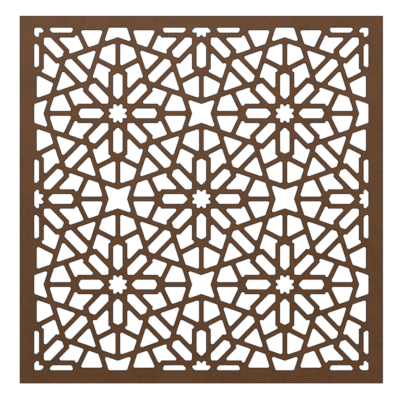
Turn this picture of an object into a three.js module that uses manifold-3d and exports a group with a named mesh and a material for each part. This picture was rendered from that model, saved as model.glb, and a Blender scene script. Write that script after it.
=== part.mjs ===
// A mashrabiya screen panel: one flat metal sheet with an eightfold star and polygon pattern cut through it.
// Millimetres, +Z up. The front faces -Y, and the flat back lies in the plane y = 0.
// The origin is on the back face, in the middle of the top border, where the panel is held.

import * as THREE from "three";
import { mergeGeometries, mergeVertices } from "three/addons/utils/BufferGeometryUtils.js";
import Module from "manifold-3d";

// The sheet
const sheetThickness = 3;
const sideBorder = 24;
const topBorder = 19.6;
const bottomBorder = 21.8;

// The grid that the star centres stand on: every other crossing holds an eight-pointed star
const columns = 4;
const rows = 4;
const columnPitch = 136.2;
const rowPitch = 139.6;
const starPoints = 8;
const crossPoints = starPoints / 2;

// The straps left between the openings
const strapWidth = 8.2;
const spokeWidth = 15.2; // clear width of the long hexagons that stand round each star
const spokeReach = 0.504; // from a star's centre to the meeting of straps past a spoke's tip, in pitches
const tipLean = THREE.MathUtils.degToRad(26.4); // how far a spoke's tip sides lean from square to its axis

// What a whole opening leaves past the border's edge is no opening if its area is under this
const smallestOpening = 1;

// The cutter that made the openings leaves its radius in every inner corner
const cutterRadius = 2.5;
const widestRelieved = THREE.MathUtils.degToRad(92); // wider corners than this are left as they are

// The pattern is drawn square on the mean pitch, then stretched to the two real pitches
const pitch = (columnPitch + rowPitch) / 2;
const halfStrap = strapWidth / 2;
const spokeInside = spokeWidth / 2;
const spokeOutside = spokeInside + strapWidth;
const tipDistance = spokeReach * pitch * Math.cos(tipLean);
const eighth = (2 * Math.PI) / starPoints;

const fieldWidth = columns * columnPitch;
const fieldHeight = rows * rowPitch;
const sheetWidth = fieldWidth + 2 * sideBorder;
const sheetTop = topBorder / 2;
const fieldTop = sheetTop - topBorder;
const fieldBottom = fieldTop - fieldHeight;
const sheetBottom = fieldBottom - bottomBorder;

// A straight line is the direction of its normal and its distance from the star's centre
function line(normalAngle, distance) {
  return { nx: Math.cos(normalAngle), ny: Math.sin(normalAngle), distance };
}

// The same line seen from the next star along the diagonal of a grid square
function fromFarStar(normalAngle, distance) {
  const nx = Math.cos(normalAngle);
  const ny = Math.sin(normalAngle);
  return { nx, ny, distance: pitch * (nx + ny) - distance };
}

function crossing(a, b) {
  const turn = a.nx * b.ny - a.ny * b.nx;
  const x = (a.distance * b.ny - b.distance * a.ny) / turn;
  const y = (a.nx * b.distance - b.nx * a.distance) / turn;
  return [x, y];
}

const rotated = (points, angle) =>
  points.map(([x, y]) => [
    x * Math.cos(angle) - y * Math.sin(angle),
    x * Math.sin(angle) + y * Math.cos(angle),
  ]);

// Mirrored in a line through the origin, in reverse order so that the outline keeps its sense
const mirrored = (points, angle) =>
  points
    .map(([x, y]) => [
      x * Math.cos(2 * angle) + y * Math.sin(2 * angle),
      x * Math.sin(2 * angle) - y * Math.cos(2 * angle),
    ])
    .reverse();

const aroundStar = (points) =>
  Array.from({ length: starPoints }, (_, k) => rotated(points, k * eighth));

// The small eight-pointed star: its sides run in line with the spokes' sides
function starOpening() {
  const notchRadius = spokeInside * Math.SQRT2;
  const pointRadius = spokeInside / Math.sin(eighth / 2);
  return Array.from({ length: 2 * starPoints }, (_, k) => {
    const radius = k % 2 ? pointRadius : notchRadius;
    return [radius * Math.cos((k * eighth) / 2), radius * Math.sin((k * eighth) / 2)];
  });
}

// A long hexagon along +x from the star, with a square inner corner and a blunt tip
function spokeOpening() {
  const side = line(Math.PI / 2, spokeInside);
  const neighbour = line(-eighth, spokeOutside);
  const tip = line(tipLean, tipDistance - halfStrap);
  const axis = line(Math.PI / 2, 0);
  const upper = [crossing(tip, side), crossing(neighbour, side), crossing(neighbour, axis)];
  return [crossing(tip, axis), ...upper, ...mirrored(upper.slice(0, 2), 0)];
}

// The arrow-shaped opening between two spokes, with a small step past each spoke's tip
function kiteOpening() {
  const side = line(Math.PI / 2, spokeOutside);
  const tip = line(tipLean, tipDistance + halfStrap);
  const outer = line(-tipLean, tipDistance - halfStrap);
  const farOuter = line(eighth + tipLean, tipDistance - halfStrap);
  const inner = crossing(side, line(-eighth, spokeOutside));
  const steps = [crossing(side, tip), crossing(tip, outer)];
  return [inner, ...steps, crossing(outer, farOuter), ...mirrored(steps, eighth / 2)];
}

// Between two spokes of neighbouring stars stand the straps that bound all that follows
const reachLine = (edge) => line(eighth + tipLean, tipDistance + edge);
const farReachLine = (edge) => fromFarStar(eighth - tipLean, tipDistance + edge);

// One of two four-sided openings either side of the strap that joins a spoke's tip to a cross
function quadOpening() {
  const strap = line(Math.PI / 2, halfStrap);
  const spokeTip = line(-tipLean, tipDistance + halfStrap);
  const reach = reachLine(-halfStrap);
  const farReach = farReachLine(halfStrap);
  return [
    crossing(spokeTip, strap),
    crossing(strap, farReach),
    crossing(farReach, reach),
    crossing(reach, spokeTip),
  ];
}

// A triangle on the long side of the hexagon in the middle of a grid square
function triangleOpening() {
  const reach = reachLine(halfStrap);
  const farReach = farReachLine(halfStrap);
  const side = line(-eighth, spokeOutside);
  return [crossing(reach, farReach), crossing(farReach, side), crossing(side, reach)];
}

// The long hexagon in the middle of a grid square, on the diagonal between two stars
function middleOpening() {
  const reach = reachLine(halfStrap);
  const farReach = farReachLine(halfStrap);
  const side = line(-eighth, spokeInside);
  const diagonal = line(-eighth, 0);
  const half = [
    crossing(reach, diagonal),
    crossing(reach, side),
    crossing(side, farReach),
    crossing(farReach, diagonal),
  ];
  return [...half, ...mirrored(half.slice(1, 3), eighth)];
}

// The four-pointed opening with hollow sides at the crossings that hold no star, about its own centre
function crossOpening() {
  const axis = line(Math.PI / 2, 0);
  const reach = reachLine(-halfStrap);
  const farReach = farReachLine(-halfStrap);
  const quarter = [crossing(axis, farReach), crossing(farReach, reach)].map(([x, y]) => [x - pitch, y]);
  return Array.from({ length: crossPoints }, (_, k) => rotated(quarter, -2 * k * eighth)).flat();
}

// The openings inside one grid square, with stars at its near and far corners
function squareOpenings() {
  const quad = quadOpening();
  const farQuad = quad.map(([x, y]) => [pitch - y, pitch - x]).reverse();
  const lower = [quad, farQuad, triangleOpening()];
  return [...lower, ...lower.map((points) => mirrored(points, eighth)), middleOpening()];
}

// Every opening of the field, still whole where it crosses the border, in sheet coordinates
function wholeOpenings() {
  const rosette = [starOpening(), ...aroundStar(spokeOpening()), ...aroundStar(kiteOpening())];
  const place = (points, column, row, flip) =>
    points.map(([x, y]) => [
      -fieldWidth / 2 + (column + (flip * x) / pitch) * columnPitch,
      fieldBottom + (row + y / pitch) * rowPitch,
    ]);
  const openings = [];
  for (let column = 0; column <= columns; column++)
    for (let row = 0; row <= rows; row++) {
      const holdsStar = (column + row) % 2 === 0;
      for (const points of holdsStar ? rosette : [crossOpening()])
        openings.push(place(points, column, row, 1));
      if (column === columns || row === rows) continue;
      for (const points of squareOpenings())
        openings.push(holdsStar ? place(points, column, row, 1) : place(points, column + 1, row, -1));
    }
  return openings;
}

// Keeps the part of an outline on the inner side of one edge of the field
function cutAt(points, inside) {
  return points.flatMap((point, i) => {
    const next = points[(i + 1) % points.length];
    const here = inside(point);
    const there = inside(next);
    const kept = here >= 0 ? [point] : [];
    if (here * there < 0) {
      const share = here / (here - there);
      kept.push([point[0] + share * (next[0] - point[0]), point[1] + share * (next[1] - point[1])]);
    }
    return kept;
  });
}

function cutToField(points) {
  const edges = [
    ([x]) => x + fieldWidth / 2,
    ([x]) => fieldWidth / 2 - x,
    ([, z]) => z - fieldBottom,
    ([, z]) => fieldTop - z,
  ];
  const snapped = (inside) => (point) => (Math.abs(inside(point)) < 1e-6 ? 0 : inside(point));
  return edges.reduce((outline, inside) => cutAt(outline, snapped(inside)), points);
}

function signedArea(points) {
  return points.reduce((sum, [x, z], i) => {
    const [nextX, nextZ] = points[(i + 1) % points.length];
    return sum + (x * nextZ - nextX * z) / 2;
  }, 0);
}

// Right-angled and sharper corners get a flat that touches the cutter's round at its middle
function relieved(points) {
  return points.flatMap((point, i) => {
    const before = points[(i + points.length - 1) % points.length];
    const after = points[(i + 1) % points.length];
    const corner = new THREE.Vector2(...point);
    const back = new THREE.Vector2(...before).sub(corner).normalize();
    const ahead = new THREE.Vector2(...after).sub(corner).normalize();
    const angle = Math.acos(THREE.MathUtils.clamp(back.dot(ahead), -1, 1));
    if (ahead.cross(back) <= 0 || angle > widestRelieved) return [point];
    const gap = cutterRadius * (1 / Math.sin(angle / 2) - 1);
    const along = gap / Math.cos(angle / 2);
    return [back, ahead].map((side) => corner.clone().addScaledVector(side, along).toArray());
  });
}

// A prism through y from an outline in x and z
function prism(points, backY, frontY) {
  const shape = new THREE.Shape(points.map(([x, z]) => new THREE.Vector2(x, z)));
  const body = new THREE.ExtrudeGeometry(shape, { depth: backY - frontY, bevelEnabled: false });
  return body.rotateX(Math.PI / 2).translate(0, backY, 0);
}

const wasm = await Module();
wasm.setup();

function solidOf(geometry) {
  geometry.deleteAttribute("normal");
  geometry.deleteAttribute("uv");
  const merged = mergeVertices(geometry, 1e-4);
  return new wasm.Manifold(
    new wasm.Mesh({
      numProp: 3,
      vertProperties: merged.attributes.position.array,
      triVerts: new Uint32Array(merged.index.array),
    }),
  );
}

function geometryOf(solid) {
  const { vertProperties, triVerts } = solid.getMesh();
  const indexed = new THREE.BufferGeometry();
  indexed.setAttribute("position", new THREE.BufferAttribute(vertProperties, 3));
  indexed.setIndex(new THREE.BufferAttribute(triVerts, 1));
  const faceted = indexed.toNonIndexed();
  faceted.computeVertexNormals();
  return faceted;
}

function panelGeometry() {
  const outline = [
    [-sheetWidth / 2, sheetBottom],
    [sheetWidth / 2, sheetBottom],
    [sheetWidth / 2, sheetTop],
    [-sheetWidth / 2, sheetTop],
  ];
  const openings = wholeOpenings()
    .map(cutToField)
    .map((points) => (signedArea(points) < 0 ? points.reverse() : points))
    .filter((points) => signedArea(points) > smallestOpening)
    .map(relieved);
  const pastTheFaces = sheetThickness;
  const cutters = openings.map((points) => prism(points, pastTheFaces, -sheetThickness - pastTheFaces));
  const sheet = solidOf(prism(outline, 0, -sheetThickness));
  return geometryOf(sheet.subtract(solidOf(mergeGeometries(cutters))));
}

const brownCoat = new THREE.MeshStandardMaterial({ color: 0x6d4d36, roughness: 0.7, metalness: 0 });

const screen = new THREE.Group();
screen.name = "mashrabiya_screen";
const panel = new THREE.Mesh(panelGeometry(), brownCoat);
panel.name = "screen_panel";
screen.add(panel);

export default screen;
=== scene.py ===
import math

import bpy
import mathutils
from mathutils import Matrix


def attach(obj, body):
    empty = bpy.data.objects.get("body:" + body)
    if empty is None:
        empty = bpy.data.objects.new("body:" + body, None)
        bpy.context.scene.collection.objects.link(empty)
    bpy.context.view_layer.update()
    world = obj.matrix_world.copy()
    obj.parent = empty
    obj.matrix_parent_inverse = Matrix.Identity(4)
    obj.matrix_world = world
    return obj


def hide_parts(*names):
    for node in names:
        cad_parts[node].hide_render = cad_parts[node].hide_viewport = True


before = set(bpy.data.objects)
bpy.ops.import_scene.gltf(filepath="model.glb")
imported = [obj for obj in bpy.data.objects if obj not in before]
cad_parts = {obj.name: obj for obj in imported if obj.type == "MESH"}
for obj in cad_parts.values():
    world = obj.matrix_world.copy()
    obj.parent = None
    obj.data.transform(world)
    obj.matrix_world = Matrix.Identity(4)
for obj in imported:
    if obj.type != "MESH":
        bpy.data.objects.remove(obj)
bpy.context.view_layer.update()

# The panel
# One flat 3 mm metal sheet, cut through with an eightfold star pattern by a small round cutter.
# The plain border is part of the same sheet. The panel is held by the back of its top border,
# so the flat back lies in the plane y = 0 and the front faces -Y.
sheet_thickness = 0.003
side_border = 0.024
top_border = 0.0196
bottom_border = 0.0218
columns = 4
rows = 4
column_pitch = 0.1362
row_pitch = 0.1396
strap_width = 0.0082
spoke_width = 0.0152
spoke_reach = 0.504
tip_lean = math.radians(26.4)
cutter_radius = 0.0025
edge_round = 0.00045
edge_band = 0.0022

field_width = columns * column_pitch
field_height = rows * row_pitch
sheet_width = field_width + 2 * side_border
sheet_height = field_height + top_border + bottom_border
sheet_top = top_border / 2
field_centre = sheet_top - top_border - field_height / 2
sheet_centre = sheet_top - sheet_height / 2

# The pattern is drawn on the mean pitch. A straight line is its normal and its distance from the star.
# The strap past a spoke's end crosses the spoke's axis at spoke_reach of the pitch, and leans by tip_lean.
pitch = (column_pitch + row_pitch) / 2
half_strap = strap_width / 2
spoke_inside = spoke_width / 2
spoke_outside = spoke_inside + strap_width
tip_distance = spoke_reach * pitch * math.cos(tip_lean)
eighth = math.tau / 8
quarter = math.tau / 4


def line(normal_angle, distance):
    return math.cos(normal_angle), math.sin(normal_angle), distance


def line_of_far_star(normal_angle, distance):
    """The line at that distance from the star in the square's far corner, on this side of it."""
    nx, ny = math.cos(normal_angle), math.sin(normal_angle)
    return nx, ny, pitch * (nx + ny) - distance


def crossing(a, b):
    turn = a[0] * b[1] - a[1] * b[0]
    return (a[2] * b[1] - b[2] * a[1]) / turn, (a[0] * b[2] - b[0] * a[2]) / turn


def mirrored(outline, angle):
    """The outline mirrored in the line through the star at that angle."""
    c, s = math.cos(2 * angle), math.sin(2 * angle)
    return [(x * c + y * s, x * s - y * c) for x, y in outline]


def openings_of_one_corner():
    """The openings in a quarter of a grid square: the triangle from a star to the next crossing
    and to the middle of the square. Openings on its sides are cut there and joined by the mirroring."""
    axis = line(quarter, 0)
    diagonal = line(-eighth, 0)
    across = line(eighth, pitch / math.sqrt(2))
    spoke_side = line(quarter, spoke_inside)
    kite_side = line(quarter, spoke_outside)
    next_spoke = line(-eighth, spoke_outside)
    tip = line(tip_lean, tip_distance - half_strap)
    past_tip = line(tip_lean, tip_distance + half_strap)
    reach = line(eighth + tip_lean, tip_distance - half_strap)
    past_reach = line(eighth + tip_lean, tip_distance + half_strap)
    far_reach = line_of_far_star(eighth - tip_lean, tip_distance - half_strap)
    past_far_reach = line_of_far_star(eighth - tip_lean, tip_distance + half_strap)

    notch = (spoke_inside * math.sqrt(2), 0)
    point_radius = spoke_inside / math.sin(eighth / 2)
    point = (point_radius * math.cos(eighth / 2), point_radius * math.sin(eighth / 2))
    star = [(0, 0), notch, point, *mirrored([notch], eighth / 2)]
    spoke = [
        crossing(tip, axis),
        crossing(tip, spoke_side),
        crossing(next_spoke, spoke_side),
        crossing(next_spoke, axis),
    ]
    near_side = line(-tip_lean, tip_distance - half_strap)
    steps = [crossing(kite_side, past_tip), crossing(past_tip, near_side)]
    far_steps = mirrored(reversed(steps), eighth / 2)
    kite = [crossing(kite_side, next_spoke), *steps, crossing(near_side, reach), *far_steps]
    strap_side = line(quarter, half_strap)
    spoke_tip = line(-tip_lean, tip_distance + half_strap)
    quad = [
        crossing(spoke_tip, strap_side),
        crossing(strap_side, past_far_reach),
        crossing(past_far_reach, reach),
        crossing(reach, spoke_tip),
    ]
    triangle = [
        crossing(past_reach, past_far_reach),
        crossing(across, next_spoke),
        crossing(next_spoke, past_reach),
    ]
    middle_side = line(-eighth, spoke_inside)
    middle = [
        crossing(past_reach, diagonal),
        crossing(past_reach, middle_side),
        crossing(middle_side, across),
        (pitch / 2, pitch / 2),
    ]
    cross = [(pitch, 0), crossing(axis, far_reach), crossing(far_reach, reach)]
    return [star, spoke, mirrored(spoke, eighth / 2), kite, quad, triangle, middle, cross]


corner_points = []
corner_faces = []
for outline in openings_of_one_corner():
    first = len(corner_points)
    corner_points += [(x - pitch / 2, y - pitch / 2, 0) for x, y in outline]
    corner_faces.append(range(first, len(corner_points)))
corner_mesh = bpy.data.meshes.new("screen_panel")
corner_mesh.from_pydata(corner_points, [], corner_faces)
panel = bpy.data.objects.new("pierced_screen", corner_mesh)
bpy.context.scene.collection.objects.link(panel)


def add_node(tree, kind, inputs=None, **settings):
    """One node with its settings. An input given as a socket is linked, and any other is a plain value."""
    made = tree.nodes.new(kind)
    for name, value in settings.items():
        setattr(made, name, value)
    for key, value in (inputs or {}).items():
        if isinstance(value, bpy.types.NodeSocket):
            tree.links.new(value, made.inputs[key])
        else:
            made.inputs[key].default_value = value
    return made


def number(tree, operation, *values):
    return add_node(tree, "ShaderNodeMath", dict(enumerate(values)), operation=operation).outputs[0]


# The tree mirrors the corner into a grid square, repeats the square and finds the whole outlines.
sheet_tree = bpy.data.node_groups.new("pierced_sheet", "GeometryNodeTree")
tree_inputs = {}
for name, kind in (
    ("Geometry", "NodeSocketGeometry"),
    ("Columns", "NodeSocketInt"),
    ("Rows", "NodeSocketInt"),
    ("Column Pitch", "NodeSocketFloat"),
    ("Row Pitch", "NodeSocketFloat"),
    ("Drawn Pitch", "NodeSocketFloat"),
    ("Field Centre", "NodeSocketFloat"),
    ("Sheet Width", "NodeSocketFloat"),
    ("Sheet Height", "NodeSocketFloat"),
    ("Sheet Centre", "NodeSocketFloat"),
    ("Thickness", "NodeSocketFloat"),
    ("Cutter Radius", "NodeSocketFloat"),
    ("Edge Round", "NodeSocketFloat"),
    ("Edge Band", "NodeSocketFloat"),
    ("Coat", "NodeSocketMaterial"),
):
    tree_inputs[name] = sheet_tree.interface.new_socket(name, in_out="INPUT", socket_type=kind)
sheet_tree.interface.new_socket("Geometry", in_out="OUTPUT", socket_type="NodeSocketGeometry")
given = sheet_tree.nodes.new("NodeGroupInput").outputs


def sheet_node(kind, inputs=None, **settings):
    """The first output of a new node in the sheet's tree."""
    return add_node(sheet_tree, kind, inputs, **settings).outputs[0]


def amount(operation, *values):
    return number(sheet_tree, operation, *values)


def vector(operation, *values):
    made = add_node(sheet_tree, "ShaderNodeVectorMath", dict(enumerate(values)), operation=operation)
    return made.outputs["Value" if operation == "DOT_PRODUCT" else "Vector"]


def scaled(direction, by):
    return sheet_node("ShaderNodeVectorMath", {"Vector": direction, "Scale": by}, operation="SCALE")


def xyz(x=0.0, y=0.0, z=0.0):
    return sheet_node("ShaderNodeCombineXYZ", {"X": x, "Y": y, "Z": z})


def joined(*parts):
    made = sheet_tree.nodes.new("GeometryNodeJoinGeometry")
    for part in reversed(parts):
        sheet_tree.links.new(part, made.inputs[0])
    return made.outputs[0]


def place(geometry, **inputs):
    named = {key.capitalize(): value for key, value in inputs.items()}
    return sheet_node("GeometryNodeTransform", {"Geometry": geometry, **named})


def welded(geometry, distance):
    return sheet_node("GeometryNodeMergeByDistance", {"Geometry": geometry, "Distance": distance})


weld_between_squares = 1e-5
weld_to_rim = 2e-6
square = given["Geometry"]

# The corner is mirrored in one diagonal of the square, and then both are mirrored in the other.
for turn in (quarter, -quarter):
    square = joined(square, place(square, scale=(1, -1, 1), rotation=(0, 0, turn)))
stretch_x = amount("DIVIDE", given["Column Pitch"], given["Drawn Pitch"])
stretch_y = amount("DIVIDE", given["Row Pitch"], given["Drawn Pitch"])
square = place(square, scale=xyz(stretch_x, stretch_y, 1.0))

# Every second square is mirrored, so that neighbours meet star to star and crossing to crossing.
gaps_x = amount("SUBTRACT", given["Columns"], 1)
gaps_y = amount("SUBTRACT", given["Rows"], 1)
square_centres = sheet_node(
    "GeometryNodeMeshGrid",
    {
        "Vertices X": given["Columns"],
        "Vertices Y": given["Rows"],
        "Size X": amount("MULTIPLY", gaps_x, given["Column Pitch"]),
        "Size Y": amount("MULTIPLY", gaps_y, given["Row Pitch"]),
    },
)
index = sheet_node("GeometryNodeInputIndex")
column = amount("FLOOR", amount("DIVIDE", index, given["Rows"]))
place_in_column = amount("MODULO", index, given["Rows"])
odd = amount("MODULO", amount("ADD", column, place_in_column), 2)
side = amount("SUBTRACT", 1, amount("MULTIPLY", odd, 2))
squares = sheet_node(
    "GeometryNodeInstanceOnPoints",
    {"Points": square_centres, "Instance": square, "Scale": xyz(side, 1.0, 1.0)},
)
field = welded(sheet_node("GeometryNodeRealizeInstances", {"Geometry": squares}), weld_between_squares)

# An edge with one face lies on an outline. The comparison's inputs 2 and 3 are its whole numbers.
faces_at_edge = sheet_node("GeometryNodeInputMeshEdgeNeighbors")
on_outline = sheet_node("FunctionNodeCompare", {2: faces_at_edge, 3: 1}, data_type="INT", operation="EQUAL")
outlines = sheet_node("GeometryNodeMeshToCurve", {"Mesh": field, "Selection": on_outline})
outlines = place(outlines, translation=xyz(0.0, given["Field Centre"], 0.0))

# At each point of an outline: the way in, the way out and the signed turn between them.
position = sheet_node("GeometryNodeInputPosition")
upwards = (0, 0, 1)


def position_of_neighbour(offset):
    point = add_node(sheet_tree, "GeometryNodeOffsetPointInCurve", {"Offset": offset}).outputs["Point Index"]
    looked_up = {"Index": point, "Value": position}
    return sheet_node("GeometryNodeFieldAtIndex", looked_up, data_type="FLOAT_VECTOR")


way_in = vector("NORMALIZE", vector("SUBTRACT", position, position_of_neighbour(-1)))
way_out = vector("NORMALIZE", vector("SUBTRACT", position_of_neighbour(1), position))
turned_by = amount(
    "ARCTAN2",
    vector("DOT_PRODUCT", vector("CROSS_PRODUCT", way_in, way_out), upwards),
    vector("DOT_PRODUCT", way_in, way_out),
)
curve_number = sheet_tree.nodes.new("GeometryNodeCurveOfPoint").outputs["Curve Index"]
full_turn = add_node(
    sheet_tree,
    "GeometryNodeAccumulateField",
    {"Value": turned_by, "Group ID": curve_number},
    data_type="FLOAT",
).outputs["Total"]


def anticlockwise(curves, wanted):
    wrong_way = amount("LESS_THAN" if wanted else "GREATER_THAN", full_turn, 0)
    return sheet_node("GeometryNodeReverseCurve", {"Curve": curves, "Selection": wrong_way})


# The cutter rounds the inner corners, which turn left. Each round has a point for each step of its turn.
least_turn = math.radians(2)
turn_of_a_step = math.radians(20)
is_inner_corner = amount("GREATER_THAN", turned_by, least_turn)
steps_of_turn = amount("CEIL", amount("DIVIDE", turned_by, turn_of_a_step))
outlines = sheet_node(
    "GeometryNodeFilletCurve",
    {
        "Curve": anticlockwise(outlines, True),
        "Count": amount("MAXIMUM", steps_of_turn, 1),
        "Radius": amount("MULTIPLY", is_inner_corner, given["Cutter Radius"]),
        "Limit Radius": True,
    },
    mode="POLY",
)
border = sheet_node(
    "GeometryNodeCurvePrimitiveQuadrilateral",
    {"Width": given["Sheet Width"], "Height": given["Sheet Height"]},
)
border = place(border, translation=xyz(0.0, given["Sheet Centre"], 0.0))
outlines = joined(outlines, anticlockwise(border, False))

# The metal lies to the right of every outline. A point moves into it along the mitre of its two sides.
normal_in = vector("CROSS_PRODUCT", way_in, upwards)
normal_out = vector("CROSS_PRODUCT", way_out, upwards)
alignment = vector("DOT_PRODUCT", normal_in, normal_out)
mitre_stretch = amount("DIVIDE", 1, amount("ADD", 1, alignment))
into_metal = scaled(vector("ADD", normal_in, normal_out), mitre_stretch)


def remembered(geometry, **fields):
    """Keeps the value that each field has here, for use further on."""
    kept = add_node(sheet_tree, "GeometryNodeCaptureAttribute", {"Geometry": geometry}, domain="POINT")
    for name, value in fields.items():
        kept.capture_items.new("VECTOR", name)
        sheet_tree.links.new(value, kept.inputs[name])
    return kept.outputs


outlines = remembered(outlines, outline_point=position, into_metal=into_metal)

# The edge's section: a band of the front face, a small round, the cut wall, a round and a band of the back.
steps_of_edge_round = 3
section = sheet_node(
    "GeometryNodeCurvePrimitiveQuadrilateral",
    {
        "Point 1": xyz(given["Edge Band"]),
        "Point 2": xyz(),
        "Point 3": xyz(0.0, given["Thickness"]),
        "Point 4": xyz(given["Edge Band"], given["Thickness"]),
    },
    mode="POINTS",
)
section = sheet_node("GeometryNodeSetSplineCyclic", {"Geometry": section, "Cyclic": False})
section = sheet_node(
    "GeometryNodeFilletCurve",
    {"Curve": section, "Count": steps_of_edge_round, "Radius": given["Edge Round"]},
    mode="POLY",
)
section = remembered(section, section_point=position)
rim = sheet_node(
    "GeometryNodeCurveToMesh",
    {"Curve": outlines["Geometry"], "Profile Curve": section["Geometry"]},
)
depth_and_height = add_node(sheet_tree, "ShaderNodeSeparateXYZ", {0: section["section_point"]}).outputs


def moved_in(geometry, depth, height):
    sideways = scaled(outlines["into_metal"], depth)
    point = vector("ADD", vector("ADD", outlines["outline_point"], sideways), xyz(0.0, 0.0, height))
    return sheet_node("GeometryNodeSetPosition", {"Geometry": geometry, "Position": point})


# The coat reads cut_edge, which is 1 on the cut wall and falls to 0 across the band, to paint shade along
# the cut edges.
rim = moved_in(rim, depth_and_height["X"], depth_and_height["Y"])
share_of_band = amount("DIVIDE", depth_and_height["X"], given["Edge Band"])
rim = sheet_node(
    "GeometryNodeStoreNamedAttribute",
    {"Geometry": rim, "Name": "cut_edge", "Value": amount("SUBTRACT", 1, share_of_band)},
    data_type="FLOAT",
    domain="POINT",
)


def shaded(geometry, smooth, domain="FACE", where=True):
    settled = {"Geometry": geometry, "Selection": where, "Shade Smooth": smooth}
    return sheet_node("GeometryNodeSetShadeSmooth", settled, domain=domain)


# The flat faces fill what is left between the bands, front and back alike. The steps of a round
# shade smooth, and any edge with a larger angle stays sharp.
sharpest_smooth_edge = math.radians(35)
face = sheet_node(
    "GeometryNodeFillCurve",
    {"Curve": moved_in(outlines["Geometry"], given["Edge Band"], 0.0)},
    mode="TRIANGLES",
)
face = shaded(face, False)
front = place(face, translation=xyz(0.0, 0.0, given["Thickness"]))
back = sheet_node("GeometryNodeFlipFaces", {"Mesh": face})
sheet = welded(joined(front, back, shaded(rim, True)), weld_to_rim)
edge_angle = sheet_tree.nodes.new("GeometryNodeInputMeshEdgeAngle").outputs["Unsigned Angle"]
past_a_round_step = amount("GREATER_THAN", edge_angle, sharpest_smooth_edge)
sheet = shaded(sheet, False, "EDGE", past_a_round_step)
sheet = place(sheet, rotation=(quarter, 0, 0))
sheet = sheet_node("GeometryNodeRealizeInstances", {"Geometry": sheet})
sheet = sheet_node("GeometryNodeSetMaterial", {"Geometry": sheet, "Material": given["Coat"]})
sheet_tree.links.new(sheet, sheet_tree.nodes.new("NodeGroupOutput").inputs[0])

# The coat: matt brown powder paint. Clouds, patches, a speckle and a grain vary its tone, and the last
# two raise its surface too. Shade is painted as a darker line along each cut edge, and less of it on the cut
# wall.
deep_brown = (0.107, 0.0441, 0.0139, 1)
light_brown = (0.181, 0.0758, 0.0252, 1)
red_brown = (0.151, 0.0568, 0.0176, 1)
# The darkest brown is painted shade for the cut edges.
painted_edge_shade_brown = (0.046, 0.0205, 0.0085, 1)
grain_height = 0.00016
coat = bpy.data.materials.new("brown_powder_coat")
coat.use_nodes = True
coat_tree = coat.node_tree
coat_surface = coat_tree.nodes["Principled BSDF"]
on_object = coat_tree.nodes.new("ShaderNodeTexCoord").outputs["Object"]


def noise(patches_a_metre, detail, roughness=0.5):
    """A soft pattern from 0 to 1."""
    return add_node(
        coat_tree,
        "ShaderNodeTexNoise",
        {"Vector": on_object, "Scale": patches_a_metre, "Detail": detail, "Roughness": roughness},
    ).outputs["Fac"]


def spread(tree, value, low, high, to_low, to_high):
    """A value stretched from one range to another and kept within it."""
    return add_node(
        tree,
        "ShaderNodeMapRange",
        {"Value": value, "From Min": low, "From Max": high, "To Min": to_low, "To Max": to_high},
    ).outputs["Result"]


def mixed(share, first, second):
    """Two colours mixed. The node's inputs 6 and 7 and its output 2 are the ones for colours."""
    colours = {0: share, 6: first, 7: second}
    return add_node(coat_tree, "ShaderNodeMix", colours, data_type="RGBA").outputs[2]


clouds = noise(14, 2)
patches = noise(110, 3, 0.6)
speckle = noise(420, 3, 0.6)
grain = noise(1900, 2, 0.7)
broad_tone = spread(coat_tree, number(coat_tree, "ADD", clouds, patches), 0.7, 1.3, -0.3, 0.3)
fine_tone = spread(coat_tree, number(coat_tree, "ADD", speckle, grain), 0.7, 1.3, 0.0, 1.0)
brown = mixed(number(coat_tree, "ADD", broad_tone, fine_tone), deep_brown, light_brown)
brown = mixed(spread(coat_tree, patches, 0.35, 0.65, 0.0, 0.5), brown, red_brown)
cut_edge = add_node(coat_tree, "ShaderNodeAttribute", attribute_name="cut_edge").outputs["Fac"]
# Painted shade: a darker line along each cut edge, weaker on the cut wall itself.
painted_edge_shade = spread(coat_tree, cut_edge, 0.0, 0.5, 0.0, 0.95)
less_painted_shade_on_wall = spread(coat_tree, cut_edge, 0.85, 1.0, 1.0, 0.6)
brown = mixed(number(coat_tree, "MULTIPLY", painted_edge_shade, less_painted_shade_on_wall), brown, painted_edge_shade_brown)
bump = add_node(
    coat_tree,
    "ShaderNodeBump",
    {"Strength": 0.8, "Distance": grain_height, "Height": number(coat_tree, "ADD", grain, speckle)},
).outputs["Normal"]
coat_tree.links.new(brown, coat_surface.inputs["Base Color"])
coat_tree.links.new(spread(coat_tree, speckle, 0.3, 0.7, 0.5, 0.64), coat_surface.inputs["Roughness"])
coat_tree.links.new(bump, coat_surface.inputs["Normal"])
coat_surface.inputs["Specular IOR Level"].default_value = 0.25

modifier = panel.modifiers.new("pierced_sheet", "NODES")
modifier.node_group = sheet_tree
for name, value in {
    "Columns": columns,
    "Rows": rows,
    "Column Pitch": column_pitch,
    "Row Pitch": row_pitch,
    "Drawn Pitch": pitch,
    "Field Centre": field_centre,
    "Sheet Width": sheet_width,
    "Sheet Height": sheet_height,
    "Sheet Centre": sheet_centre,
    "Thickness": sheet_thickness,
    "Cutter Radius": cutter_radius,
    "Edge Round": edge_round,
    "Edge Band": edge_band,
    "Coat": coat,
}.items():
    modifier[tree_inputs[name].identifier] = value
depsgraph = bpy.context.evaluated_depsgraph_get()
cut_mesh = bpy.data.meshes.new_from_object(panel.evaluated_get(depsgraph))
panel.modifiers.remove(modifier)
panel.data = cut_mesh
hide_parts("screen_panel")
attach(panel, "root")

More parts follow.
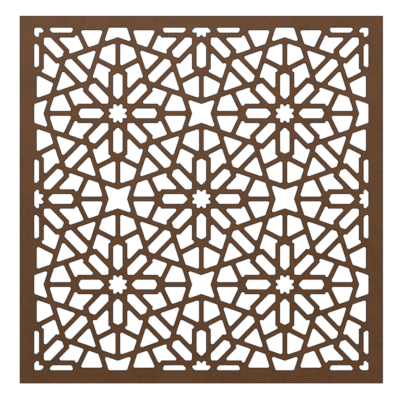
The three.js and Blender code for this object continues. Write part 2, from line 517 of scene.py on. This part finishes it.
# The floor
# A plain pale disc that the panel hangs over, small enough to stay out of the front view.
floor_radius = 1.2
floor_height = -1.05
floor_sides = 96
floor_angles = [math.tau * i / floor_sides for i in range(floor_sides)]
floor_points = [(floor_radius * math.cos(a), floor_radius * math.sin(a), floor_height) for a in floor_angles]
floor_mesh = bpy.data.meshes.new("pale_floor")
floor_mesh.from_pydata(floor_points, [], [range(floor_sides)])
floor = bpy.data.objects.new("pale_floor", floor_mesh)
bpy.context.scene.collection.objects.link(floor)
floor_paint = bpy.data.materials.new("pale_floor")
floor_paint.use_nodes = True
floor_surface = floor_paint.node_tree.nodes["Principled BSDF"]
floor_surface.inputs["Base Color"].default_value = (0.8, 0.79, 0.77, 1)
floor_surface.inputs["Roughness"].default_value = 0.9
floor_mesh.materials.append(floor_paint)

# The light
# A white studio with four soft disc lamps: one close in front, one at each side of the front, of which
# the right one is the stronger, and one behind. The surroundings add an even light and show white.
panel_middle = (0.0, 0.0, sheet_centre)
even_light = 0.25
white_behind = 1.0


def soft_lamp(name, place_at, diameter, power):
    lamp = bpy.data.lights.new(name, "AREA")
    lamp.shape = "DISK"
    lamp.size = diameter
    lamp.energy = power
    holder = bpy.data.objects.new(name, lamp)
    holder.location = place_at
    aim = mathutils.Vector(panel_middle) - holder.location
    holder.rotation_euler = aim.to_track_quat("-Z", "Y").to_euler()
    bpy.context.scene.collection.objects.link(holder)


soft_lamp("key_lamp", (-0.2, -1.0, 0.3), 0.8, 6)
soft_lamp("left_lamp", (-2.0, -1.1, 0.2), 1.2, 7)
soft_lamp("right_lamp", (2.0, -1.1, 0.2), 1.2, 17)
soft_lamp("back_lamp", (0.9, 1.8, 0.7), 1.2, 22)

world = bpy.data.worlds.new("white_studio")
world.use_nodes = True
bpy.context.scene.world = world
world_tree = world.node_tree
seen = world_tree.nodes.new("ShaderNodeLightPath").outputs["Is Camera Ray"]
world_light = world_tree.nodes["Background"]
world_light.inputs["Color"].default_value = (1, 1, 1, 1)
strength = spread(world_tree, seen, 0, 1, even_light, white_behind)
world_tree.links.new(strength, world_light.inputs["Strength"])
bpy.context.scene.view_settings.view_transform = "Standard"

# The camera
# A long lens straight in front. The photograph's frame is 652 mm wide at the panel's face.
frame_width = 0.6522
frame_middle = (-0.0022, -sheet_thickness, -0.2907)
camera_distance = 3.0
camera_data = bpy.data.cameras.new("front_camera")
camera_data.lens = camera_data.sensor_width * camera_distance / frame_width
camera = bpy.data.objects.new("front_camera", camera_data)
camera.location = (frame_middle[0], frame_middle[1] - camera_distance, frame_middle[2])
camera.rotation_euler = (quarter, 0, 0)
bpy.context.scene.collection.objects.link(camera)
bpy.context.scene.camera = camera
